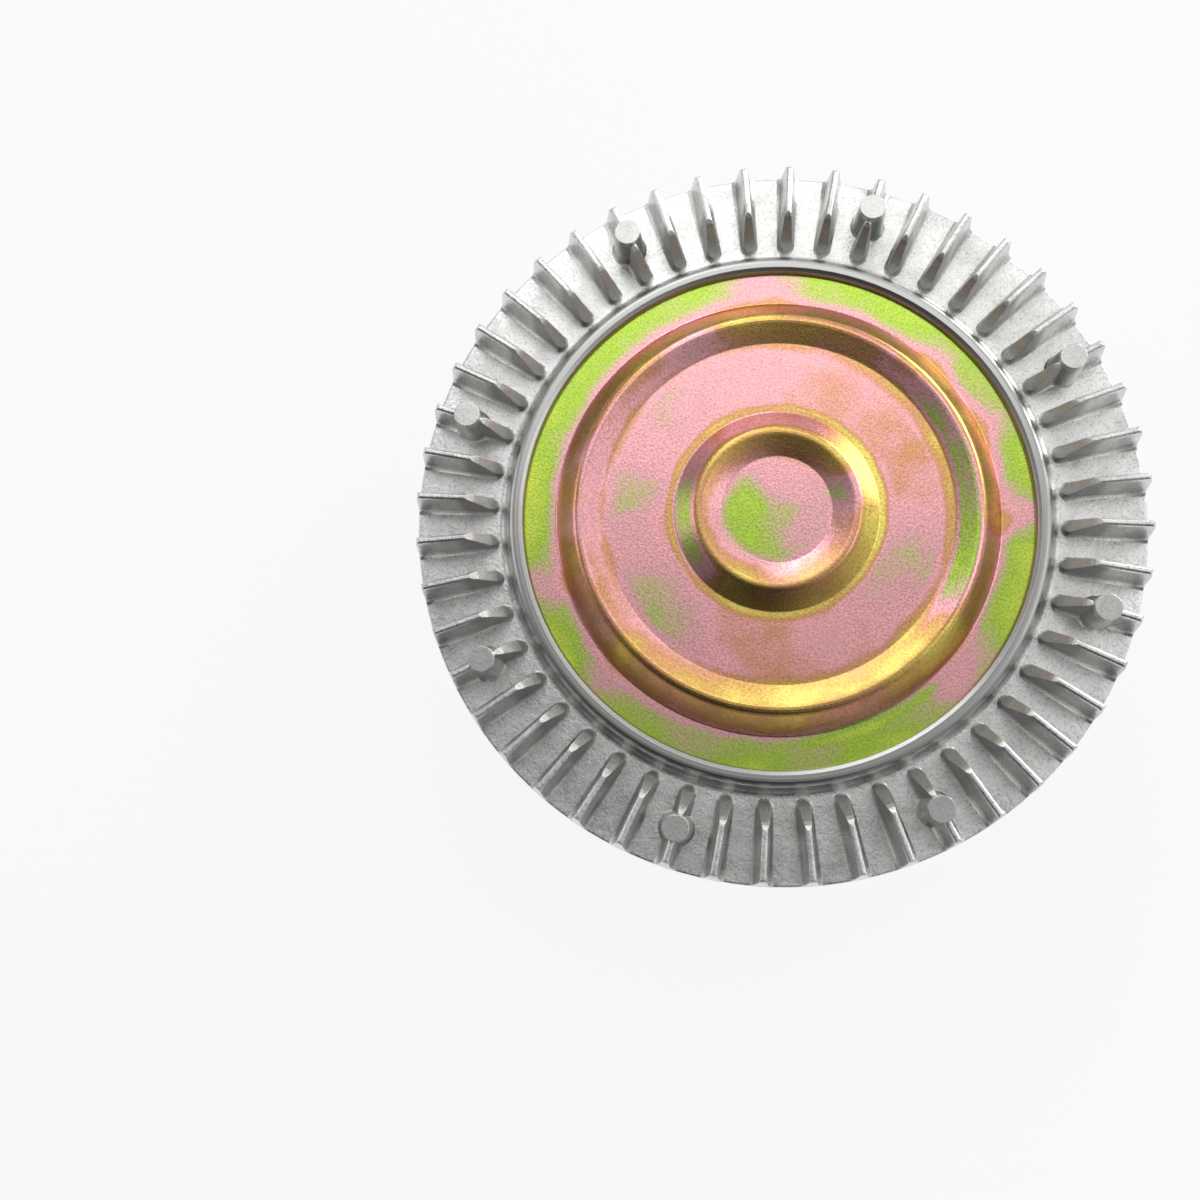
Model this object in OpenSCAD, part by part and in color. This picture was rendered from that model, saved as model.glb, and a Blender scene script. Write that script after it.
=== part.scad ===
// Viscous fan clutch, torque-limiting type. All sizes are in millimetres.
// The clutch stands on its input flange: the flange face is z = 0 and the axis is +Z.
// The fan side of the housing looks down, the finned cover side looks up.

/* [Input flange and shaft] */
// outer diameter of the flange that bolts to the water pump
flange_d = 64; // [56:0.5:64.5]
// thickness of the flange
flange_t = 6; // [4:0.5:9]
// pilot bore that takes the pump shaft
pilot_d = 15.9; // [12.7:0.1:19.1]
// depth of the pilot bore
pilot_depth = 7.2; // [6:0.1:10]
// depth of the narrower drilled hole behind the pilot bore
drill_depth = 22; // [14:1:34]
// width of the four open stud slots
slot_w = 8.7; // [6.6:0.1:9]
// smallest bolt circle that the slots take
slot_circle = 44.5; // [40:0.1:50]
// shaft diameter next to the flange
shaft_d = 27; // [24:0.1:29]
// shaft diameter at the bearing shoulder
shaft_neck_d = 24.6; // [23:0.1:25.4]

/* [Ball bearing] */
// bore of the inner race
bearing_bore = 20; // [20:0.1:20.4]
// outside diameter of the outer race
bearing_od = 42; // [41.6:0.1:42.4]
// width of the bearing
bearing_w = 16; // [15:0.1:16]
// ball diameter
ball_d = 6.35; // [6:0.01:6.4]
// number of balls
ball_count = 9; // [7:1:10]

/* [Fan mounting] */
// bolt circle of the fan
fan_circle = 88.9; // [86:0.1:92]
// drilled diameter of the fan bolt holes
fan_hole_d = 7.9; // [6.5:0.1:8.5]
// pilot diameter that centres the fan
fan_pilot_d = 66.7; // [65:0.1:68]
// height of the fan pads above the flange face
fan_seat_z = 47.2; // [46:0.1:48.5]
// width of a pad around its hole
pad_w = 16.2; // [14:0.1:18]
// length of a pad beyond its hole
pad_end = 9.8; // [8.5:0.1:10.5]
// width of the pad and its two ears next to the pilot
pad_root_w = 22; // [20:0.1:24]

/* [Housing] */
// outer diameter of the finned housing
body_d = 194; // [190:0.5:200]
// height of the rear face of the rim
rim_z = 70.8; // [70.4:0.1:71.2]
// thickness of the rim plate
rim_t = 3.4; // [3:0.1:3.6]
// height of the machined end of the neck
neck_z = 38.5; // [37:0.1:39.5]
// inside diameter of the neck mouth
neck_bore_d = 34.4; // [33.6:0.1:36]
// wall between the bearing and the outside of the neck end
neck_wall = 2.7; // [2.4:0.1:3.2]

/* [Cooling fins] */
// number of fins on each side
fin_count = 48; // [32:4:48]
// height of the front fins above the rim
front_fin_h = 10.8; // [8:0.1:11.5]
// thickness of a front fin at its top
front_fin_t = 2; // [1.6:0.1:2.6]
// thickness of a front fin at its foot
front_foot_t = 3.9; // [3:0.1:4.6]
// thickness of a rear fin at its top
rear_fin_t = 1.6; // [1.2:0.1:2]
// thickness of a rear fin at the rim
rear_foot_t = 2.5; // [1.8:0.1:2.8]
// height of the flat inner part of the rear fins above the flange face
rear_fin_z = 51.8; // [51:0.1:53]
// number of round posts among the front fins
post_count = 8; // [4:4:12]
// post diameter at its sheared top
post_top_d = 6.8; // [5:0.1:7.5]
// post diameter at its foot
post_foot_d = 8.9; // [7.5:0.1:9.5]
// radius of the circle of posts
post_r = 86.2; // [85:0.1:87.5]
// height of the posts above the fin tops
post_rise = 1.6; // [0.5:0.1:2.5]

/* [Front cover] */
// visible diameter inside the rolled lip
cover_view_d = 134.2; // [132:0.1:135]
// thickness of the cover sheet
cover_t = 1.5; // [1.2:0.1:1.8]
// height of the outer flat above the flange face
cover_z = 78; // [77.8:0.1:78.2]
// diameter of the foot of the outer bead
bead_d = 117.2; // [114:0.2:122]
// width of the outer bead
bead_w = 12.8; // [11:0.2:15]
// diameter of the foot of the inner bead
inner_bead_d = 53.4; // [48:0.2:58]
// width of the inner bead
inner_bead_w = 12.5; // [11:0.1:14]
// rise of the middle flat above the outer flat
mid_rise = 4.6; // [3:0.1:5]
// rise of the centre above the middle flat
centre_rise = 2; // [1:0.1:2.4]
// height of the outer bead above the middle flat
bead_h = 2; // [1:0.1:2.5]
// height of the inner bead above the centre
inner_bead_h = 1.9; // [0.6:0.1:2.2]

/* [Drive rotor] */
// number of ring lands on the rotor
land_count = 5; // [3:1:5]
// distance from one land to the next
land_pitch = 5; // [4.4:0.1:5]
// thickness of a land
land_t = 2; // [1.6:0.1:2]
// height of a land
land_h = 3.6; // [2.5:0.1:4]
// fluid gap between facing lands and walls
fluid_gap = 0.8; // [0.5:0.1:1]
// number of fluid return holes in the rotor
return_holes = 6; // [3:1:8]

/* [Hidden] */
// radial room of pressed and seated pieces
fit = 0.02;
// room around a ball in its grooves
ball_room = 0.1;
// running room between seals and the inner race
seal_room = 0.2;
// overlap that buries one cast form in the next
bury = 1;
// smoothness of turned faces
turn = 96;
// steps of a rounded corner on turned profiles
arc_steps = 5;
// steps of a rounded corner on the fins
fin_steps = 3;

body_r = body_d / 2;
rim_top_z = rim_z + rim_t;
fin_top_z = rim_top_z + front_fin_h;
post_top_z = fin_top_z + post_rise;
fin_angle = 360 / fin_count;

// bearing heights
mouth_depth = 6.5;
shoulder_z = neck_z + mouth_depth;
bearing_top_z = shoulder_z + bearing_w;
ball_z = shoulder_z + bearing_w / 2;
pitch_r = (bearing_bore + bearing_od) / 4;
groove_r = ball_d / 2 + ball_room;
race_in_r = pitch_r - 2.2;
race_out_r = pitch_r + 2.2;
seal_t = 1.1;
seal_depth = 0.5;
seal_grip = 0.7;
clip_t = 1.16;
clip_depth = 1.2;
clip_gap = 24;

// rotor chamber heights, from the rear wall to the cover
rotor_plate_t = 4;
cover_gap = 2.1;
chamber_z = cover_z - cover_t - cover_gap - rotor_plate_t - fluid_gap - land_h;
chamber_r = 61.5;
land_start_r = 33;
rotor_rear_z = chamber_z + land_h + fluid_gap;
rotor_top_z = rotor_rear_z + rotor_plate_t;
rotor_r = chamber_r - 0.6;
hub_seat_r = bearing_bore / 2 - 1;
head_t = 1.4;

// cover seat and rolled lip
seat_z = cover_z - cover_t;
cover_r = cover_view_d / 2 + 1.7;
lip_top_z = cover_z + 2.1;
lip_r = cover_view_d / 2 + 4.6;
seal_ring_r = chamber_r + 2.7;
seal_ring_w = 1.8;
seal_ring_h = 1.6;

// outside of the casting between the cone and the rim
cone_foot_r = fan_pilot_d / 2 + 0.05;
fin_inner_h = 5.8;
step_run = 6.3;
wall_t = 4.4;
cone_foot_z = rear_fin_z + fin_inner_h;
step_top_r = chamber_r - 1;
step_top_z = chamber_z - wall_t;
step_foot_r = step_top_r + step_run;

// fan pads
fan_hole_depth = 13;
ear_w = 4.6;
ear_rise = 6;
ear_chamfer = 1.7;
bar_rise = 3.9;

// unit vector from point a to point b
function toward(a, b) = [b[0] - a[0], b[1] - a[1]] / norm([b[0] - a[0], b[1] - a[1]]);

// points of one corner of an outline, rounded by the corner's third value
function corner(a, c, b, steps) =
  let (u = toward(c, a), v = toward(c, b), open = acos(u * v) / 2, r = c[2])
  r == 0 ? [[c[0], c[1]]] :
  let (
    m = (u + v) / norm(u + v),
    o = [c[0], c[1]] + m * r / sin(open),
    p = [c[0], c[1]] + u * r / tan(open),
    q = [c[0], c[1]] + v * r / tan(open),
    a0 = atan2(p[1] - o[1], p[0] - o[0]),
    a1 = atan2(q[1] - o[1], q[0] - o[0]),
    sweep = a1 - a0 - 360 * round((a1 - a0) / 360)
  )
  [for (i = [0 : steps]) o + r * [cos(a0 + sweep * i / steps), sin(a0 + sweep * i / steps)]];

// closed outline through [x, y, corner radius] points
function rounded(p, steps = arc_steps) =
  let (n = len(p))
  [for (i = [0 : n - 1], q = corner(p[(i + n - 1) % n], p[i], p[(i + 1) % n], steps)) q];

module turned(p) {
  rotate_extrude($fn = turn)
    polygon(p);
}

module ring(r_in, r_out, z0, z1) {
  translate([0, 0, z0])
    difference() {
      cylinder(r = r_out, h = z1 - z0, $fn = turn);
      translate([0, 0, -bury])
        cylinder(r = r_in, h = z1 - z0 + 2 * bury, $fn = turn);
    }
}

// bar that runs outward along +X from r0 to r1 with the section p in tangent and height
module radial_bar(p, r0, r1) {
  translate([r0, 0, 0])
    rotate([90, 0, 90])
      linear_extrude(height = r1 - r0)
        polygon(p);
}

// round groove in which the balls run
module ball_track() {
  translate([0, 0, ball_z])
    rotate_extrude($fn = turn)
      translate([pitch_r, 0])
        circle(r = groove_r, $fn = 48);
}

// input flange, shaft, journal and riveted end in one forging
module input_shaft() {
  color([0.42, 0.42, 0.43])
    difference() {
      turned(rounded([
        [0, 0, 0],
        [flange_d / 2, 0, 0.5],
        [flange_d / 2, flange_t, 0.8],
        [shaft_d / 2 + 0.5, flange_t, 2.2],
        [shaft_neck_d / 2, shoulder_z - 2, 0],
        [shaft_neck_d / 2, shoulder_z, 0.4],
        [bearing_bore / 2 - fit, shoulder_z, 0],
        [bearing_bore / 2 - fit, bearing_top_z, 0.3],
        [hub_seat_r, bearing_top_z, 0],
        [hub_seat_r, rotor_top_z, 0],
        [hub_seat_r + 1.2, rotor_top_z, 0],
        [hub_seat_r + 0.8, rotor_top_z + head_t, 0],
        [0, rotor_top_z + head_t, 0]
      ]));
      pilot_bore();
      for (a = [0 : 90 : 270])
        rotate([0, 0, a])
          stud_slot();
    }
}

// pilot bore with its chamfer, drill point and shallow turned recess
module pilot_bore() {
  face_recess = 0.3;
  chamfer = 0.8;
  drill_step = 0.6;
  r = pilot_d / 2;
  turned([
    [0, -bury],
    [pilot_d * 0.8, -bury],
    [pilot_d * 0.8, face_recess],
    [r + chamfer, face_recess],
    [r, face_recess + chamfer],
    [r, pilot_depth],
    [r - drill_step, pilot_depth],
    [r - drill_step, drill_depth],
    [0, drill_depth + r / 2]
  ]);
}

// open slot from the round inner end out through the flange edge
module stud_slot() {
  translate([slot_circle / 2, 0, -bury]) {
    cylinder(d = slot_w, h = flange_t + 2 * bury, $fn = 48);
    translate([0, -slot_w / 2, 0])
      cube([flange_d / 2, slot_w, flange_t + 2 * bury]);
  }
}

module bearing_inner_race() {
  color([0.72, 0.73, 0.75])
    difference() {
      ring(bearing_bore / 2, race_in_r, shoulder_z, bearing_top_z);
      ball_track();
    }
}

module bearing_outer_race() {
  color([0.72, 0.73, 0.75])
    difference() {
      ring(race_out_r, bearing_od / 2, shoulder_z, bearing_top_z);
      ball_track();
      seal_groove(shoulder_z + seal_depth);
      seal_groove(bearing_top_z - seal_depth - seal_t);
    }
}

module seal_groove(z) {
  ring(race_out_r - bury, race_out_r + seal_grip + fit, z - fit, z + seal_t + fit);
}

module bearing_seal(z) {
  color([0.1, 0.16, 0.36])
    ring(race_in_r + seal_room, race_out_r + seal_grip, z, z + seal_t);
}

module bearing_seal_rear() {
  bearing_seal(shoulder_z + seal_depth);
}

module bearing_seal_front() {
  bearing_seal(bearing_top_z - seal_depth - seal_t);
}

// open spring ring in its groove in front of the outer race
module bearing_retaining_ring() {
  color([0.3, 0.31, 0.33])
    difference() {
      ring(
        bearing_od / 2 - 2,
        bearing_od / 2 + clip_depth - 0.05,
        bearing_top_z,
        bearing_top_z + clip_t
      );
      translate([0, -clip_gap / 6, bearing_top_z - bury])
        cube([bearing_od, clip_gap / 3, clip_t + 2 * bury]);
    }
}

// moulded cage: a ring with ball pockets that open toward the flange
module bearing_cage() {
  color([0.75, 0.7, 0.55])
    difference() {
      ring(pitch_r - ball_d / 5, pitch_r + ball_d / 5, ball_z - ball_d * 0.44, ball_z + ball_d * 0.74);
      for (i = [0 : ball_count - 1])
        at_ball(i)
          sphere(d = ball_d + 2.4 * ball_room, $fn = 48);
    }
}

module at_ball(i) {
  rotate([0, 0, i * 360 / ball_count])
    translate([pitch_r, 0, ball_z])
      children();
}

module ball(i) {
  if (i < ball_count)
    color([0.8, 0.81, 0.83])
      at_ball(i)
        sphere(d = ball_d, $fn = 48);
}

// drive disc with ring lands on its rear face, riveted to the shaft end
module rotor() {
  hub_r = 16;
  hub_end = 2.4;
  hub_flare = 2.6;
  web_z = rotor_rear_z - 0.6;
  hole_d = 7;
  land_points = [
    for (i = [land_count - 1 : -1 : 0])
      let (r = land_start_r + land_t + (land_pitch - 2 * land_t) / 2 + i * land_pitch)
      each [
        [r + land_t, rotor_rear_z],
        [r + land_t, chamber_z + fluid_gap],
        [r, chamber_z + fluid_gap],
        [r, rotor_rear_z]
      ]
  ];
  color([0.62, 0.63, 0.65])
    difference() {
      turned(concat(
        [
          [hub_seat_r + fit, bearing_top_z],
          [hub_seat_r + fit, rotor_top_z],
          [rotor_r, rotor_top_z],
          [rotor_r, rotor_rear_z]
        ],
        land_points,
        [
          [land_start_r, web_z],
          [hub_r, web_z],
          [hub_r, bearing_top_z + hub_end + hub_flare],
          [race_in_r - 0.4, bearing_top_z + hub_end],
          [race_in_r - 0.4, bearing_top_z]
        ]
      ));
      for (i = [0 : return_holes - 1])
        rotate([0, 0, i * 360 / return_holes])
          translate([(hub_r + land_start_r) / 2, 0, web_z - bury])
            cylinder(d = hole_d, h = rotor_top_z - web_z + 2 * bury, $fn = 48);
    }
}

// finned die casting, bored and turned for the bearing, fan, cover and lands
module housing() {
  color([0.78, 0.79, 0.8])
    difference() {
      union() {
        casting_body();
        rear_fins();
        front_fins();
        for (i = [0 : post_count - 1])
          rotate([0, 0, i * 360 / post_count])
            post();
        for (a = [0 : 90 : 270])
          rotate([0, 0, a])
            fan_pad();
        fan_ears();
      }
      cavity();
      for (a = [0 : 90 : 270])
        rotate([0, 0, a])
          fan_hole();
    }
}

// outside of the casting from the neck over the cone, wall and step to the rim and lip
module casting_body() {
  neck_r = bearing_od / 2 + neck_wall;
  turned(rounded([
    [0, neck_z, 0],
    [neck_r, neck_z, 0.3],
    [neck_r + 1, neck_z + 3, 0.5],
    [neck_r + 1.4, neck_z + 3.8, 0],
    [cone_foot_r, cone_foot_z, 1.8],
    [step_top_r, step_top_z, 4.5],
    [step_foot_r, rim_z - 0.6, 3.5],
    [body_r, rim_z, 0.5],
    [body_r, rim_top_z, 0.6],
    [lip_r + 0.9, rim_top_z + 0.6, 2.2],
    [lip_r - 0.2, lip_top_z, 2.3],
    [cover_r, lip_top_z, 0],
    [0, lip_top_z, 0]
  ]));
}

// bearing seat, rotor chamber with its ring lands, seal groove, cover seat and lip opening
module cavity() {
  land_points = [
    for (i = [0 : land_count - 1])
      let (r = land_start_r + i * land_pitch - (land_pitch - 2 * land_t) / 2)
      each [
        [r, chamber_z],
        [r, chamber_z + land_h],
        [r + land_t, chamber_z + land_h],
        [r + land_t, chamber_z]
      ]
  ];
  bore_r = bearing_od / 2 + fit;
  clip_z = bearing_top_z - fit;
  view_r = cover_view_d / 2;
  turned(concat(
    [
      [0, neck_z - bury],
      [neck_bore_d / 2 + 0.6, neck_z - bury],
      [neck_bore_d / 2 + 0.6, neck_z],
      [neck_bore_d / 2, neck_z + 0.6],
      [neck_bore_d / 2, shoulder_z],
      [bore_r, shoulder_z],
      [bore_r, clip_z],
      [bore_r + clip_depth, clip_z],
      [bore_r + clip_depth, clip_z + clip_t + 2 * fit],
      [bore_r, clip_z + clip_t + 2 * fit],
      [bore_r, chamber_z - 2.6],
      [bore_r + 1.2, chamber_z - 1.4],
      [land_start_r - 2, chamber_z - 1.4],
      [land_start_r - 2, chamber_z]
    ],
    land_points,
    [
      [chamber_r, chamber_z],
      [chamber_r, seat_z],
      [seal_ring_r - fit, seat_z],
      [seal_ring_r - fit, seat_z - seal_ring_h],
      [seal_ring_r + seal_ring_w + fit, seat_z - seal_ring_h],
      [seal_ring_r + seal_ring_w + fit, seat_z],
      [cover_r + fit, seat_z],
      [cover_r + fit, cover_z],
      [view_r, cover_z],
      [view_r, cover_z + 0.7],
      [view_r + 0.5, lip_top_z - 0.5],
      [view_r + 1.6, lip_top_z + 0.1],
      [view_r + 1.6, lip_top_z + bury],
      [0, lip_top_z + bury]
    ]
  ));
}

// drafted radial fins of the rear side, cut to the line of their top edges
module rear_fins() {
  inner_r = 32;
  knee_r = 52.7;
  wall_z = chamber_z - 1.5;
  bottom_z = rim_z + rim_t / 2;
  section = [
    [-rear_foot_t / 2, bottom_z],
    [-rear_fin_t / 2, rear_fin_z - bury],
    [rear_fin_t / 2, rear_fin_z - bury],
    [rear_foot_t / 2, bottom_z]
  ];
  intersection() {
    for (i = [0 : fin_count - 1])
      rotate([0, 0, i * fin_angle])
        radial_bar(section, inner_r - bury, body_r);
    turned(rounded([
      [inner_r, wall_z, 0],
      [inner_r, rear_fin_z, 1],
      [knee_r, rear_fin_z + 0.4, 3],
      [body_r - 2.2, rim_z, 0],
      [body_r - 2.2, bottom_z - 0.2, 0],
      [step_foot_r - 2, bottom_z - 0.2, 0],
      [step_top_r - 3, wall_z, 0]
    ], fin_steps));
  }
}

// drafted front fins with a round top and a flared foot, sloped down to a round inner nose
module front_fins() {
  inner_r = lip_r + 3.1;
  slope_run = 6.7;
  knee_r = inner_r + slope_run;
  nose_r = inner_r + front_foot_t / 2;
  flare = 1;
  foot_z = rim_top_z - bury;
  top_r = front_fin_t / 2 - 0.05;
  half = [
    [front_foot_t / 2 + flare, foot_z],
    [front_foot_t / 2 + flare, rim_top_z + 0.1],
    [front_foot_t / 2 + flare * 0.3, rim_top_z + flare * 0.6],
    [front_foot_t / 2 - 0.1, rim_top_z + flare * 1.4],
    for (a = [0 : 36 : 72])
      [front_fin_t / 2 - top_r * (1 - cos(a)), fin_top_z - top_r * (1 - sin(a))]
  ];
  mirrored = [for (i = [len(half) - 1 : -1 : 0]) [-half[i][0], half[i][1]]];
  crown_z = half[len(half) - 1][1];
  intersection() {
    for (i = [0 : fin_count - 1])
      rotate([0, 0, i * fin_angle]) {
        radial_bar(concat(half, mirrored), nose_r, body_r);
        translate([nose_r, 0, 0])
          rotate_extrude($fn = 32)
            polygon(concat(half, [[0, crown_z], [0, foot_z]]));
      }
    turned(rounded([
      [inner_r - 1.4 * flare, foot_z + 0.2, 0],
      [inner_r - 1.4 * flare, rim_top_z + 0.4, 0],
      [inner_r + 0.4, rim_top_z + 2.4, 1],
      [knee_r, fin_top_z + 0.1, 4],
      [body_r - 1.6, fin_top_z + 0.1, 1.6],
      [body_r - 0.1, foot_z + 0.2, 0]
    ], fin_steps));
  }
}

// tapered casting post on a fin, with a small foot and a sheared flat top
module post() {
  foot_h = 0.9;
  translate([post_r, 0, rim_top_z - bury]) {
    cylinder(d1 = post_foot_d, d2 = post_top_d, h = post_top_z - rim_top_z + bury, $fn = 48);
    cylinder(d1 = post_foot_d + 2.4, d2 = post_foot_d - 0.2, h = bury + foot_h, $fn = 48);
  }
}

// pad column with a round outer end, broad where it meets the cone
module fan_pad() {
  end_r = fan_circle / 2 + pad_end;
  root_r = fan_pilot_d / 2 + 2.6;
  inner_r = 24;
  translate([0, 0, fan_seat_z])
    linear_extrude(height = chamber_z - 3.4 - fan_seat_z) {
      translate([end_r - pad_w / 2, 0])
        circle(d = pad_w, $fn = 64);
      translate([inner_r, -pad_w / 2])
        square([end_r - pad_w / 2 - inner_r, pad_w]);
      translate([inner_r, -pad_root_w / 2])
        square([root_r - inner_r, pad_root_w]);
    }
}

// stepped ears beside each pad, turned outside to the fan pilot diameter
module fan_ears() {
  pilot_r = fan_pilot_d / 2;
  base_z = fan_seat_z + 3;
  top_z = fan_seat_z - ear_rise;
  start_r = bearing_od / 2 + 1;
  intersection() {
    for (a = [0 : 90 : 270])
      rotate([0, 0, a]) {
        translate([start_r, -pad_root_w / 2 + ear_w / 2, fan_seat_z - bar_rise])
          cube([pilot_r, pad_root_w - ear_w, base_z - fan_seat_z + bar_rise]);
        for (s = [-1, 1])
          translate([start_r, s * (pad_root_w - ear_w) / 2 - ear_w / 2, top_z - bury])
            cube([pilot_r, ear_w, base_z - top_z + bury]);
      }
    turned([
      [0, top_z],
      [pilot_r - ear_chamfer, top_z],
      [pilot_r, top_z + ear_chamfer],
      [pilot_r, base_z],
      [0, base_z]
    ]);
  }
}

// blind fan bolt hole with a countersunk mouth
module fan_hole() {
  sink = 0.7;
  translate([fan_circle / 2, 0, fan_seat_z]) {
    translate([0, 0, -bury])
      cylinder(d = fan_hole_d, h = fan_hole_depth + bury, $fn = 48);
    translate([0, 0, -0.1])
      cylinder(d1 = fan_hole_d + 2 * sink + 0.2, d2 = fan_hole_d, h = sink + 0.1, $fn = 48);
  }
}

// stamped cover with two rounded beads that step up toward the centre
module front_cover() {
  mid_z = cover_z + mid_rise;
  centre_z = mid_z + centre_rise;
  crown = 0.5;
  crest_share = 0.46;
  crest_r = 2.6;
  foot_r = 0.9;
  profile = [
    [cover_r, cover_z, 0],
    [bead_d / 2, cover_z, foot_r],
    [bead_d / 2 - bead_w * crest_share, mid_z + bead_h + crown, crest_r],
    [bead_d / 2 - bead_w, mid_z, foot_r],
    [inner_bead_d / 2, mid_z, foot_r],
    [inner_bead_d / 2 - inner_bead_w * crest_share, centre_z + inner_bead_h + crown, crest_r],
    [inner_bead_d / 2 - inner_bead_w, centre_z, foot_r],
    [0, centre_z, 0]
  ];
  lower = [for (i = [len(profile) - 1 : -1 : 0]) [profile[i][0], profile[i][1] - cover_t, profile[i][2]]];
  color([0.83, 0.7, 0.36])
    turned(rounded(concat(profile, lower)));
}

// square-cut seal ring between the cover and its seat
module cover_seal() {
  color([0.08, 0.08, 0.08])
    ring(seal_ring_r, seal_ring_r + seal_ring_w, seat_z - seal_ring_h, seat_z);
}

input_shaft();
bearing_inner_race();
rotor();
housing();
front_cover();
cover_seal();
bearing_outer_race();
bearing_seal_rear();
bearing_seal_front();
bearing_retaining_ring();
bearing_cage();
ball(0);  // ball_1
ball(1);  // ball_2
ball(2);  // ball_3
ball(3);  // ball_4
ball(4);  // ball_5
ball(5);  // ball_6
ball(6);  // ball_7
ball(7);  // ball_8
ball(8);  // ball_9
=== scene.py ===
# %% [markdown]
# # A viscous fan clutch, dressed for its portrait
# The clutch stands on its input flange with the finned front and the plated cover on top.
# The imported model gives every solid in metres, so this lesson only adds light, finishes
# and the fine threads that a turned model leaves out.

# %% Load the frame
import math
import bpy
import bmesh
from mathutils import Matrix, Vector


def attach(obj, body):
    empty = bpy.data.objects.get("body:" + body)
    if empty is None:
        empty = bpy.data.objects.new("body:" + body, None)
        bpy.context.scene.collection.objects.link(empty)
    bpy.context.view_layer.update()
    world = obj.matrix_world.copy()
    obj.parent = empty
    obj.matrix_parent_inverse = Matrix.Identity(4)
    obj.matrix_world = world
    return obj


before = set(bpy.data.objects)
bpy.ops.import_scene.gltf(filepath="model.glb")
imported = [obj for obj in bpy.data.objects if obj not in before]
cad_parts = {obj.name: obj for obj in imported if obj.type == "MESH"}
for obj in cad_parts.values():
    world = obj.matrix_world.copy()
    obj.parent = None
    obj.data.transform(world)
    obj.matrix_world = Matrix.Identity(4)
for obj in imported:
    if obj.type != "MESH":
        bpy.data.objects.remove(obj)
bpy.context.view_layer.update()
scene = bpy.context.scene
scene.view_settings.view_transform = "Standard"


# %% [markdown]
# ## Camera
# The picture looks almost straight down on the cover, from a little below the middle.
# A camera can be aimed with a Track To constraint, but its roll is easier to hold when
# the three axes are written down: right and up are given, and back is their cross product.

# %% Camera
camera_right = Vector((0.9463, 0.3133, -0.0791)).normalized()
camera_up = Vector((-0.2986, 0.9414, 0.1572))
camera_back = camera_right.cross(camera_up).normalized()
camera_up = camera_back.cross(camera_right)
camera_place = (0.00463, -0.0784, 0.41234)
camera_data = bpy.data.cameras.new("portrait_camera")
camera_data.lens = 38.4
camera_data.sensor_width = 36
camera_data.clip_start = 0.01
camera = bpy.data.objects.new("portrait_camera", camera_data)
axes = Matrix((camera_right, camera_up, camera_back)).transposed()
camera.matrix_world = Matrix.Translation(camera_place) @ axes.to_4x4()
scene.collection.objects.link(camera)
scene.camera = camera
print("camera looks", [round(v, 3) for v in -camera_back])

# %% [markdown]
# ## Node helpers
# Every finish here is a small tree of nodes, and wiring nodes by hand takes three lines
# each. These helpers make one node per call: a number or colour given to a socket is set
# there, and another node's output is linked.


# %% Node helpers
def put(tree, kind, inputs=(), **settings):
    made = tree.nodes.new(kind)
    for name, value in settings.items():
        setattr(made, name, value)
    for socket, value in dict(inputs).items():
        if isinstance(value, bpy.types.NodeSocket):
            tree.links.new(value, made.inputs[socket])
        else:
            made.inputs[socket].default_value = value
    return made


def maths(tree, operation, a, b=0.0, c=0.0):
    made = put(tree, "ShaderNodeMath", {0: a, 1: b, 2: c}, operation=operation)
    return made.outputs["Value"]


def vectors(tree, operation, *values, **named):
    inputs = {**dict(enumerate(values)), **named}
    made = put(tree, "ShaderNodeVectorMath", inputs, operation=operation)
    gives_number = operation in ("DOT_PRODUCT", "LENGTH", "DISTANCE")
    return made.outputs["Value" if gives_number else "Vector"]


def span(tree, value, start, stop, low=0.0, high=1.0, ease="LINEAR"):
    ends = {"Value": value, "From Min": start, "From Max": stop, "To Min": low, "To Max": high}
    return put(tree, "ShaderNodeMapRange", ends, interpolation_type=ease).outputs["Result"]


def ramp(tree, factor, stops):
    made = put(tree, "ShaderNodeValToRGB", {"Fac": factor})
    table = made.color_ramp.elements
    while len(table) < len(stops):
        table.new(0.5)
    for element, (place, colour) in zip(table, stops):
        element.position = place
        element.color = (*colour, 1)
    return made.outputs["Color"]


def noise(tree, point, scale, detail, roughness=0.5):
    inputs = {"Vector": point, "Scale": scale, "Detail": detail, "Roughness": roughness}
    return put(tree, "ShaderNodeTexNoise", inputs).outputs


print("node helpers ready")

# %% [markdown]
# ## Floor and light
# Polished metal is mostly a picture of the room, so the room does the shading. The world
# is a soft sweep from bright behind the clutch to grey in front of it, with a dim patch
# high in front, like an open door, that draws the dark arcs on the beads. Five soft lamps
# add windows, a lifted top and a fill. The floor is white. Part of its brightness is its
# own, so it stays pale under the lamps, and the shadow still shows.

# %% World sweep
world = bpy.data.worlds.new("studio")
scene.world = world
world.use_nodes = True
sky = world.node_tree
sky.nodes.clear()
look = put(sky, "ShaderNodeTexCoord").outputs["Generated"]
toward_window = vectors(sky, "DOT_PRODUCT", look, (0.34, 0.87, 0.36))
sweep = ramp(sky, span(sky, toward_window, -1.0, 1.0), [
    (0.0, (0.26, 0.26, 0.265)), (0.45, (0.30, 0.30, 0.305)),
    (0.68, (0.54, 0.54, 0.54)), (1.0, (0.92, 0.92, 0.91)),
])
toward_door = vectors(sky, "DOT_PRODUCT", look, (0.0, -0.75, 0.66))
dusk = span(sky, toward_door, 0.70, 0.93, 1.0, 0.2, "SMOOTHSTEP")
dimmed = vectors(sky, "SCALE", sweep, Scale=dusk)
background = put(sky, "ShaderNodeBackground", {"Color": dimmed, "Strength": 1.0})
put(sky, "ShaderNodeOutputWorld", {"Surface": background.outputs["Background"]})
print("world nodes", len(sky.nodes))


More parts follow.
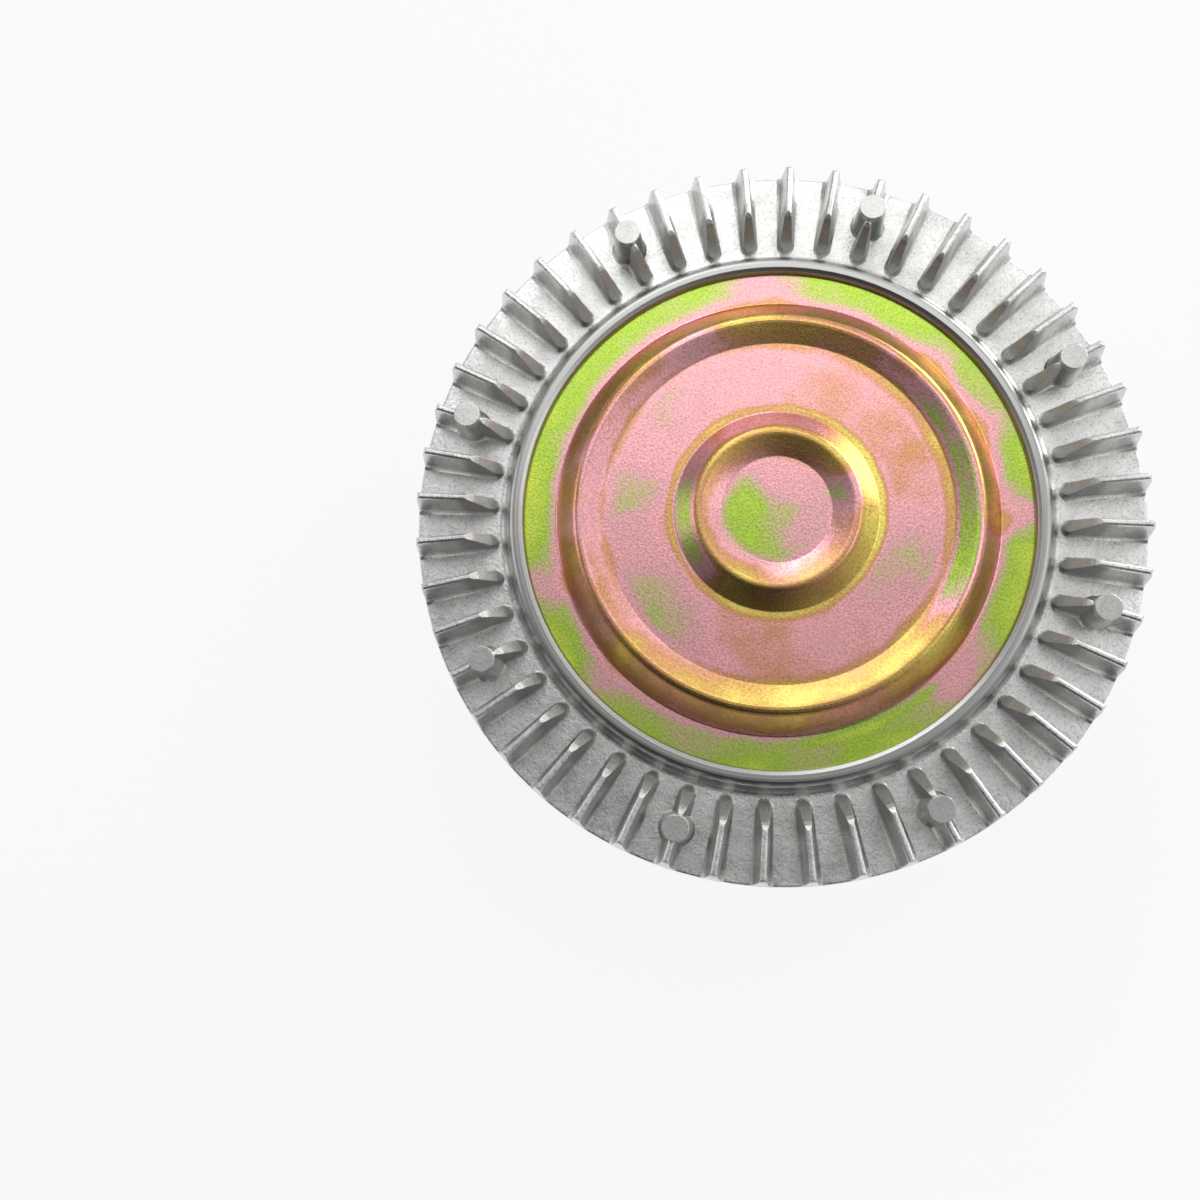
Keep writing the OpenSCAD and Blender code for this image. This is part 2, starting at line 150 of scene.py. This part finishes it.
# %% Lamps
def softbox(name, place, aim, size, watts):
    data = bpy.data.lights.new(name, "AREA")
    data.shape = "RECTANGLE"
    data.size, data.size_y = size
    data.energy = watts
    lamp = bpy.data.objects.new(name, data)
    lamp.location = place
    lamp.rotation_euler = (Vector(aim) - Vector(place)).to_track_quat("-Z", "Y").to_euler()
    scene.collection.objects.link(lamp)


softbox("window", (0.55, 0.85, 0.32), (0, 0, 0.07), (0.7, 0.4), 3.9)
softbox("top", (-0.15, 0.45, 1.0), (0, 0, 0.07), (0.8, 0.42), 1.15)
softbox("second_window", (-0.42, 0.70, 0.78), (0, 0, 0.08), (0.5, 0.34), 1.3)
softbox("right_window", (0.58, 0.19, 0.66), (0, 0, 0.08), (0.34, 0.3), 0.45)
softbox("left_fill", (-0.9, -0.1, 0.5), (0, 0, 0.07), (0.5, 0.5), 0.9)

# %% Floor
floor_half = 20
floor_corners = [(-floor_half, -floor_half, 0), (floor_half, -floor_half, 0),
                 (floor_half, floor_half, 0), (-floor_half, floor_half, 0)]
floor_mesh = bpy.data.meshes.new("floor")
floor_mesh.from_pydata(floor_corners, [], [(0, 1, 2, 3)])
floor = bpy.data.objects.new("floor", floor_mesh)
floor.location.z = -0.0002
scene.collection.objects.link(floor)
print("floor at", floor.location.z)

# %% White paper on the floor
own_light = 0.87
paper = bpy.data.materials.new("white_paper")
paper.use_nodes = True
sheet = paper.node_tree
sheet.nodes.clear()
rays = put(sheet, "ShaderNodeLightPath").outputs
seen = rays["Is Camera Ray"]
for kind in ("Is Glossy Ray", "Is Transmission Ray"):
    seen = maths(sheet, "MAXIMUM", seen, rays[kind])
lift = maths(sheet, "MULTIPLY", seen, own_light)
matt = put(sheet, "ShaderNodeBsdfDiffuse", {"Color": (0.86, 0.86, 0.86, 1)}).outputs["BSDF"]
glow = put(sheet, "ShaderNodeEmission", {"Color": (1, 1, 1, 1), "Strength": 1.0})
both = put(sheet, "ShaderNodeMixShader", {"Fac": lift, 1: matt, 2: glow.outputs["Emission"]})
put(sheet, "ShaderNodeOutputMaterial", {"Surface": both.outputs["Shader"]})
floor_mesh.materials.append(paper)
print(paper.name, "gives", own_light, "of its own light")

# %% [markdown]
# ## Shared effects
# Several finishes need the same few things: where a point lies on the lathe (its radius,
# height and angle), the cloudy grain of a die casting, fine turning lines, bright worn
# edges, and dirt with painted shade in corners. Each is built once as a node group with named
# sockets.


# %% Group helper
def effect(name, inputs, outputs):
    tree = bpy.data.node_groups.new(name, "ShaderNodeTree")
    for title, kind, value in inputs:
        socket = tree.interface.new_socket(title, in_out="INPUT", socket_type=kind)
        if value is not None:
            socket.default_value = value
    for title, kind in outputs:
        tree.interface.new_socket(title, in_out="OUTPUT", socket_type=kind)
    return tree, put(tree, "NodeGroupInput").outputs, put(tree, "NodeGroupOutput")


def give(tree, outlet, **outputs):
    for title, value in outputs.items():
        tree.links.new(value, outlet.inputs[title])
    print(tree.name, "gives", *outputs)


NUMBER, VECTOR = "NodeSocketFloat", "NodeSocketVector"
POINT = ("Point", VECTOR, None)
print("group helper ready")

# %% Lathe position
lathe_position, _, outlet = effect("lathe position", [], [
    ("Radius", NUMBER), ("Height", NUMBER), ("Turn", NUMBER), ("Point", VECTOR)])
t = lathe_position
metres = put(t, "ShaderNodeTexCoord").outputs["Object"]
spot = vectors(t, "MULTIPLY", metres, (1000, 1000, 1000))
xyz = put(t, "ShaderNodeSeparateXYZ", {"Vector": spot}).outputs
flat = put(t, "ShaderNodeCombineXYZ", {"X": xyz["X"], "Y": xyz["Y"], "Z": 0.0})
turn = maths(t, "DIVIDE", maths(t, "ARCTAN2", xyz["Y"], xyz["X"]), 2 * math.pi)
radius = vectors(t, "LENGTH", flat.outputs["Vector"])
give(t, outlet, Radius=radius, Height=xyz["Z"], Turn=turn, Point=spot)

# %% Cast grain
cast_grain, takes, outlet = effect("cast grain", [POINT, ("Size", NUMBER, 1.0)], [
    ("Clouds", NUMBER), ("Speckle", NUMBER), ("Relief", NUMBER)])
t = cast_grain
place = vectors(t, "SCALE", takes["Point"], Scale=takes["Size"])
clouds = noise(t, place, 0.11, 4.0, 0.62)["Fac"]
speckle = noise(t, place, 1.5, 3.0, 0.7)["Fac"]
ripple = noise(t, place, 0.45, 5.0, 0.6)["Fac"]
rise = maths(t, "MULTIPLY_ADD", speckle, 0.35, maths(t, "MULTIPLY", ripple, 0.65))
give(t, outlet, Clouds=clouds, Speckle=speckle, Relief=rise)

# %% Turning lines
turning_lines, takes, outlet = effect(
    "turning lines", [("Along", NUMBER, 0.0), ("Pitch", NUMBER, 0.25)], [("Line", NUMBER)])
t = turning_lines
steps = maths(t, "DIVIDE", takes["Along"], takes["Pitch"])
fine, broad = (
    put(t, "ShaderNodeTexNoise", {"W": steps, "Scale": scale, "Detail": detail},
        noise_dimensions="1D").outputs["Fac"]
    for scale, detail in ((1.0, 2.0), (0.13, 1.0)))
give(t, outlet, Line=maths(t, "MULTIPLY_ADD", fine, 0.6, maths(t, "MULTIPLY", broad, 0.4)))

# %% Worn edges
worn_edges, takes, outlet = effect("worn edges", [POINT, ("Width", NUMBER, 0.0004)], [
    ("Edge", NUMBER), ("Normal", VECTOR)])
t = worn_edges
soft = put(t, "ShaderNodeBevel", {"Radius": takes["Width"]}, samples=6).outputs["Normal"]
sharp = put(t, "ShaderNodeNewGeometry").outputs["Normal"]
turned_away = span(t, vectors(t, "DOT_PRODUCT", soft, sharp), 0.995, 0.86)
broken = span(t, noise(t, takes["Point"], 0.5, 4.0)["Fac"], 0.30, 0.62)
give(t, outlet, Edge=maths(t, "MULTIPLY", turned_away, broken), Normal=soft)

# %% Corner dirt and painted shade
corner_dirt_and_shade, takes, outlet = effect(
    "corner dirt", [POINT, ("Reach", NUMBER, 0.006)], [("Dirt", NUMBER)])
t = corner_dirt_and_shade
# Painted shade: an occlusion mask, broken up by noise, darkens corners and recesses. The
# result is part dirt and part painted shade.
open_sky = put(t, "ShaderNodeAmbientOcclusion", {"Distance": takes["Reach"]}, samples=6)
shut = span(t, open_sky.outputs["AO"], 0.75, 0.25)
patchy = span(t, noise(t, takes["Point"], 0.16, 5.0)["Fac"], 0.38, 0.68)
give(t, outlet, Dirt=maths(t, "MULTIPLY", shut, patchy))

# %% [markdown]
# ## Material helpers
# A finish is a Principled BSDF in its own material. The helpers make the material with
# its lathe position ready, find places on it by radius and height, mix colours and
# values, and dress the solids that have this finish.


# %% Material helpers
def finish(name, **constants):
    material = bpy.data.materials.new(name)
    material.use_nodes = True
    tree = material.node_tree
    skin = tree.nodes["Principled BSDF"]
    for socket, value in constants.items():
        skin.inputs[socket].default_value = value
    return material, tree, skin, use(tree, lathe_position)


def use(tree, group, **inputs):
    return put(tree, "ShaderNodeGroup", inputs, node_tree=group).outputs


def feed(tree, skin, colour, roughness):
    tree.links.new(colour, skin.inputs["Base Color"])
    tree.links.new(roughness, skin.inputs["Roughness"])


def relief(tree, skin, height, distance, strength=1.0, normal=None):
    inputs = {"Height": height, "Distance": distance, "Strength": strength}
    if normal is not None:
        inputs["Normal"] = normal
    bump = put(tree, "ShaderNodeBump", inputs)
    tree.links.new(bump.outputs["Normal"], skin.inputs["Normal"])


def dress(material, *nodes):
    for name in nodes:
        piece = bpy.data.objects[name]
        piece.data.materials.clear()
        piece.data.materials.append(material)
    print(material.name, "on", len(nodes), "nodes")


print("material helpers ready")


# %% Mixing and places
def mix(tree, factor, a, b, how="MIX"):
    made = put(tree, "ShaderNodeMix", {0: factor}, data_type="RGBA", blend_type=how)
    for index, value in ((6, a), (7, b)):
        if isinstance(value, bpy.types.NodeSocket):
            tree.links.new(value, made.inputs[index])
        else:
            made.inputs[index].default_value = (*value, 1)
    return made.outputs[2]


def mix_value(tree, factor, a, b):
    return put(tree, "ShaderNodeMix", {0: factor, 2: a, 3: b}, data_type="FLOAT").outputs[0]


def between(tree, value, low, high, soft):
    rise = span(tree, value, low - soft, low + soft)
    fall = span(tree, value, high + soft, high - soft)
    return maths(tree, "MULTIPLY", rise, fall)


def zone(tree, at, radii, heights):
    ring = between(tree, at["Radius"], *radii)
    return maths(tree, "MULTIPLY", ring, between(tree, at["Height"], *heights))


def grey(level):
    return (level, level, level)


print("mixing helpers ready")

# %% [markdown]
# ## Die-cast housing
# The housing came bright out of its die: silvery, a little cloudy, with a fine grain and
# edges rubbed bright. A lathe then cut the lip, the neck end, the pads and the pilot, so
# those places are smoother and carry turning lines. The inner ends of the front fins are
# rougher and painted a dark grey, as painted shade on their sloping tops. The rear side,
# from the polished half of the die, is smoother than the front. One material holds all of
# it, and masks made from radius and height, in millimetres, say which place is which.

# %% Places on the housing
cast, t, skin, where = finish("die_cast_aluminium", Metallic=1.0)
lip = zone(t, where, (66.5, 71.6, 0.2), (77.6, 90, 0.3))
neck = zone(t, where, (0, 24.9, 0.1), (30, 41.8, 0.1))
pilot = zone(t, where, (31.4, 33.5, 0.1), (40, 47.3, 0.1))
pads = between(t, where["Height"], 47.0, 47.25, 0.05)
post_tops = maths(t, "MULTIPLY", between(t, where["Height"], 86.45, 90, 0.05), 0.6)
machined = lip
for place in (neck, pilot, pads, post_tops):
    machined = maths(t, "MAXIMUM", machined, place)
# Mask of the inner ends of the front fins: they get painted shade on their sloping tops and a
# rougher finish.
fin_noses_shaded = zone(t, where, (73.0, 84.5, 1.2), (75.6, 84.7, 0.5))
rear_side = span(t, where["Height"], 71.2, 70.0)
print("masks for", cast.name, "made of", len(t.nodes), "nodes")


# %% Housing colour
def lathe_lines(tree, at, pitch):
    along = maths(tree, "ADD", at["Radius"], at["Height"])
    return use(tree, turning_lines, Along=along, Pitch=pitch)["Line"]


silver = [(0.28, (0.62, 0.62, 0.61)), (0.5, (0.79, 0.795, 0.78)), (0.72, (0.90, 0.905, 0.89))]
pits = [(0.32, (0.48, 0.48, 0.47)), (0.50, grey(0.93)), (0.70, grey(1.0))]
fresh_cut = [(0.3, (0.33, 0.33, 0.32)), (0.7, (0.50, 0.50, 0.49))]
# The brown-grey on the next line is dirt and painted shade for corners. The dark grey after it
# is painted shade for the fin noses.
grime_and_shade, nose_shade_grey, bright = (0.20, 0.165, 0.12), (0.30, 0.30, 0.295), (0.90, 0.905, 0.89)
grain = use(t, cast_grain, Point=where["Point"], Size=1.0)
edges = use(t, worn_edges, Point=where["Point"], Width=0.0003)
dirt_and_shade = use(t, corner_dirt_and_shade, Point=where["Point"], Reach=0.006)["Dirt"]
line = lathe_lines(t, where, 0.18)
pitted = maths(t, "MULTIPLY_ADD", rear_side, -0.5, 0.75)
colour = ramp(t, grain["Clouds"], silver)
colour = mix(t, pitted, colour, ramp(t, grain["Speckle"], pits), "MULTIPLY")
# Painted shade: brown-grey is mixed into occluded corners such as the fin feet. This is part
# dirt and part painted shade.
colour = mix(t, maths(t, "MULTIPLY", dirt_and_shade, 0.75), colour, grime_and_shade)
# Painted shade: the fin noses are mixed toward a dark grey that stands in for the shade on
# their sloping tops.
colour = mix(t, maths(t, "MULTIPLY", fin_noses_shaded, 0.6), colour, nose_shade_grey)
colour = mix(t, machined, colour, ramp(t, line, fresh_cut))
colour = mix(t, maths(t, "MULTIPLY", edges["Edge"], 0.85), colour, bright)
print(cast.name, "colours", len(silver + pits + fresh_cut) + 3)

# %% Housing gloss and grain
as_cast = maths(t, "MULTIPLY_ADD", rear_side, -0.08, 0.19)
as_cast = maths(t, "MULTIPLY_ADD", fin_noses_shaded, 0.16, as_cast)
as_cast = maths(t, "MULTIPLY_ADD", grain["Speckle"], 0.24, as_cast)
as_cut = maths(t, "MULTIPLY", line, 0.5)
rough = mix_value(t, machined, as_cast, as_cut)
rough = maths(t, "MULTIPLY_ADD", edges["Edge"], -0.12, rough)
feed(t, skin, colour, rough)
grain_depth = maths(t, "MULTIPLY_ADD", rear_side, -0.6, 1.0)
cast_rise = maths(t, "MULTIPLY", grain["Relief"], grain_depth)
cut_rise = maths(t, "MULTIPLY", line, 0.06)
rise = mix_value(t, machined, cast_rise, cut_rise)
relief(t, skin, rise, 0.00035, 0.65, edges["Normal"])
dress(cast, "housing")

# %% [markdown]
# ## Fan bolt threads
# The four pads are tapped for coarse 5/16 in bolts. A tap cuts a spiral ridge, so each
# hole gets a ridge of trapezoid section, swept round the hole's wall and tucked a little
# into it. A texture could fake the ridge, but its dark turns show in a low light.

# %% Thread ridge
root_r, crest_r, pitch = 4.0, 3.32, 1.411
thread_start, thread_end = 48.9, 59.0
steps_per_turn = 40
run_out = steps_per_turn / 3


def ridge(name, centre):
    count = int((thread_end - thread_start) / pitch * steps_per_turn)
    mesh = bmesh.new()
    rows = []
    for i in range(count + 1):
        angle = 2 * math.pi * i / steps_per_turn
        z = thread_start + pitch * i / steps_per_turn
        depth = min(1.0, i / run_out, (count - i) / run_out)
        tip = root_r + (crest_r - root_r) * depth
        section = [(root_r, -0.44), (tip, -0.06), (tip, 0.06), (root_r, 0.44)]
        corners = [(centre[0] + r * math.cos(angle), centre[1] + r * math.sin(angle),
                    z + share * pitch) for r, share in section]
        rows.append([mesh.verts.new([v / 1000 for v in corner]) for corner in corners])
    for low, high in zip(rows, rows[1:]):
        for k in range(4):
            mesh.faces.new((low[k], low[(k + 1) % 4], high[(k + 1) % 4], high[k]))
    mesh.faces.new(rows[0])
    mesh.faces.new(rows[-1])
    bmesh.ops.recalc_face_normals(mesh, faces=mesh.faces)
    data = bpy.data.meshes.new(name)
    mesh.to_mesh(data)
    mesh.free()
    return data


print("thread turns", round((thread_end - thread_start) / pitch, 1))

# %% Fan bolt threads
bolt_circle_r = 44.45
for k in range(4):
    angle = k * math.pi / 2
    centre = (bolt_circle_r * math.cos(angle), bolt_circle_r * math.sin(angle))
    name = f"fan_bolt_thread_{k + 1}"
    data = ridge(name, centre)
    data.materials.append(cast)
    piece = bpy.data.objects.new(name, data)
    scene.collection.objects.link(piece)
    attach(piece, "output")
    print(name, "faces", len(data.polygons))

# %% [markdown]
# ## Plated cover
# Yellow zinc is a thin film over steel, and its colour follows the film's thickness: gold,
# rose, olive and lime. A real thin film can be computed, but a thickness value and a
# colour ramp leave the maker in charge. The thickness follows the pressed rings, because
# the bath drains along the beads. A few round bath marks and a few patches, each a part
# of a ring, make it thicker or thinner. The browns that fall on the bead slopes are kept
# darker than the film alone, as painted shade on the slopes.

# %% Bath marks
bath_marks, takes, outlet = effect("bath marks", [POINT], [("Thickness", NUMBER)])
t = bath_marks
push = 18
sheet_across, sheet_up, sheet_z = Vector((0.9463, 0.3133)), Vector((-0.2986, 0.9414)), 82
marks = [
    (-9, -2, 17, 0.26), (-39, 6, 20, 0.15), (-31, -25, 22, 0.15), (-26, 25, 18, 0.12),
    (30, -18, 22, 0.15), (18, 4, 10, 0.40), (36, -34, 26, -0.12), (-21, 46, 12, 0.16),
    (4, -50, 22, -0.10), (-60, -18, 14, -0.28), (-44, -44, 15, -0.22), (-4, 64, 20, -0.26),
    (62, 0, 11, -0.45), (48, -40, 16, -0.24), (0, -17, 12, 0.14), (40, 40, 13, -0.30),
    (52, 24, 12, -0.22),
]
wander = noise(t, takes["Point"], 0.07, 3.0)["Color"]
pushed = vectors(t, "MULTIPLY_ADD", wander, (push, push, 0), takes["Point"])
total = 0.0
for across, upward, reach, amount in marks:
    middle = across * sheet_across + upward * sheet_up + Vector((push / 2, push / 2))
    away = vectors(t, "DISTANCE", pushed, (*middle, sheet_z))
    total = maths(t, "ADD", span(t, away, reach, 0.0, 0.0, amount, "SMOOTHSTEP"), total)
give(t, outlet, Thickness=total)

# %% Film by rings
zinc, t, skin, where = finish("yellow_zinc_plate", Metallic=1.0)
sheet_r = 70
ring_stops = [
    (0, 0.57), (12, 0.55), (15, 0.40), (19, 0.28), (23, 0.27), (26.6, 0.20), (28.0, 0.22),
    (29.6, 0.43), (43, 0.49), (46, 0.34), (50, 0.26), (54, 0.35), (57.5, 0.39),
    (59.5, 0.56), (62, 0.73), (68, 0.79),
]
share_out = maths(t, "DIVIDE", where["Radius"], sheet_r)
film = ramp(t, share_out, [(r / sheet_r, grey(thickness)) for r, thickness in ring_stops])
film = maths(t, "ADD", film, use(t, bath_marks, Point=where["Point"])["Thickness"])
drift = noise(t, where["Point"], 0.03, 2.0)["Fac"]
mottle = noise(t, where["Point"], 0.12, 4.0, 0.6)["Fac"]
for cloud, swing in ((drift, 0.35), (mottle, 0.20)):
    film = maths(t, "MULTIPLY_ADD", maths(t, "SUBTRACT", cloud, 0.5), swing, film)
print("film stops by radius", len(ring_stops))

# %% Film by ring patches
turn_of_cut = 0.30
ring_patches = [
    (46.8, 52.2, 0.25, 0.49, 0.42), (42.8, 45.8, 0.25, 0.49, -0.13),
    (46.8, 52.2, 0.63, 0.92, 0.16), (22.4, 27.2, 0.48, 0.74, 0.24),
    (22.4, 27.2, 0.76, 0.97, 0.44), (22.0, 28.2, 0.22, 0.46, -0.22),
    (30.5, 42.0, 0.34, 0.46, -0.07), (57.6, 61.5, 0.09, 0.27, 0.20),
]
from_cut = maths(t, "FRACT", maths(t, "ADD", where["Turn"], turn_of_cut))
for inner, outer, start, stop, amount in ring_patches:
    ring = between(t, where["Radius"], inner, outer, 0.8)
    patch = maths(t, "MULTIPLY", ring, between(t, from_cut, start, stop, 0.05))
    film = maths(t, "MULTIPLY_ADD", patch, amount, film)
print("film patches", len(ring_patches))

# %% Plated cover
# The two browns at 0.26 and 0.36 fall on the bead slopes. They are the film's bronze and also
# painted shade, darker than the film alone.
film_colours_and_slope_shade = [
    (0.12, (0.90, 0.72, 0.18)), (0.26, (0.68, 0.42, 0.13)), (0.36, (0.70, 0.34, 0.20)),
    (0.46, (0.90, 0.44, 0.46)), (0.56, (0.80, 0.42, 0.44)), (0.65, (0.55, 0.53, 0.22)),
    (0.75, (0.42, 0.61, 0.08)), (0.92, (0.74, 0.82, 0.12)),
]
dots = noise(t, where["Point"], 1.5, 3.0, 0.72)["Fac"]
freckle = ramp(t, dots, [(0.34, grey(0.45)), (0.58, grey(1.0))])
colour = mix(t, 0.55, ramp(t, film, film_colours_and_slope_shade), freckle, "MULTIPLY")
feed(t, skin, colour, maths(t, "MULTIPLY_ADD", mottle, 0.12, 0.20))
relief(t, skin, dots, 0.00014, 0.45)
dress(zinc, "front_cover")

# %% [markdown]
# ## Input shaft
# The shaft is a dark forging. Its flange was turned, so it is satin grey with fine rings,
# while the shaft and the slots keep the charcoal skin.

# %% Input shaft
forged, t, skin, where = finish("forged_and_turned_steel", Metallic=1.0)
charcoal = [(0.3, (0.075, 0.075, 0.08)), (0.7, (0.17, 0.17, 0.175))]
satin = [(0.3, (0.44, 0.44, 0.445)), (0.7, (0.54, 0.54, 0.545))]
grain = use(t, cast_grain, Point=where["Point"], Size=1.2)
edges = use(t, worn_edges, Point=where["Point"], Width=0.0004)
line = lathe_lines(t, where, 0.22)
flange = between(t, where["Height"], -1, 6.2, 0.2)
slot_walls = zone(t, where, (7.6, 31.7, 0.15), (0.35, 5.7, 0.1))
turned = maths(t, "MULTIPLY", flange, maths(t, "SUBTRACT", 1.0, slot_walls))
colour = mix(t, turned, ramp(t, grain["Speckle"], charcoal), ramp(t, line, satin))
colour = mix(t, maths(t, "MULTIPLY", edges["Edge"], 0.7), colour, (0.72, 0.72, 0.73))
as_forged = maths(t, "MULTIPLY_ADD", grain["Speckle"], 0.2, 0.42)
as_turned = maths(t, "MULTIPLY_ADD", line, 0.3, 0.16)
feed(t, skin, colour, mix_value(t, turned, as_forged, as_turned))
rise = mix_value(t, turned, grain["Relief"], maths(t, "MULTIPLY", line, 0.08))
relief(t, skin, rise, 0.0003, 0.6, edges["Normal"])
dress(forged, "input_shaft")

# %% [markdown]
# ## Bearing, rotor and seals
# The pieces inside are seen only through the neck, or when the clutch is taken apart.
# They still get their own finishes: ground races, polished balls, a turned rotor, a
# spring ring, a nylon cage and rubber seals.


# %% Ground and turned metal inside
def turned_metal(name, dark, light, line_pitch, smoothest, roughest):
    material, tree, coat, at = finish(name, Metallic=1.0)
    mark = lathe_lines(tree, at, line_pitch)
    rough_by_line = maths(tree, "MULTIPLY_ADD", mark, roughest - smoothest, smoothest)
    feed(tree, coat, ramp(tree, mark, [(0.3, dark), (0.7, light)]), rough_by_line)
    relief(tree, coat, mark, 0.00003, 0.5)
    return material


race = turned_metal(
    "ground_race_steel", (0.50, 0.51, 0.53), (0.66, 0.67, 0.69), 0.12, 0.14, 0.30)
dress(race, "bearing_inner_race", "bearing_outer_race")
disc = turned_metal(
    "turned_rotor_aluminium", (0.52, 0.53, 0.54), (0.70, 0.71, 0.72), 0.3, 0.22, 0.42)
dress(disc, "rotor")
ball = turned_metal(
    "polished_ball_steel", (0.66, 0.67, 0.69), (0.74, 0.75, 0.77), 0.6, 0.05, 0.12)
dress(ball, *[f"ball_{i}" for i in range(1, 10)])
spring = turned_metal(
    "dark_spring_steel", (0.10, 0.10, 0.11), (0.20, 0.20, 0.21), 0.4, 0.30, 0.45)
dress(spring, "bearing_retaining_ring")


# %% Rubber and nylon inside
def moulded(name, dark, light, smoothest, roughest):
    material, tree, coat, at = finish(name, Metallic=0.0)
    spots = use(tree, cast_grain, Point=at["Point"], Size=1.6)
    cloudy = maths(tree, "MULTIPLY_ADD", spots["Clouds"], roughest - smoothest, smoothest)
    feed(tree, coat, ramp(tree, spots["Speckle"], [(0.3, dark), (0.7, light)]), cloudy)
    relief(tree, coat, spots["Relief"], 0.0001, 0.4)
    return material


blue = moulded("dark_blue_rubber", (0.012, 0.018, 0.045), (0.025, 0.038, 0.085), 0.38, 0.6)
dress(blue, "bearing_seal_rear", "bearing_seal_front")
dress(moulded("black_rubber", grey(0.012), grey(0.03), 0.5, 0.75), "cover_seal")
nylon = moulded("natural_nylon", (0.55, 0.48, 0.33), (0.68, 0.61, 0.45), 0.35, 0.55)
dress(nylon, "bearing_cage")
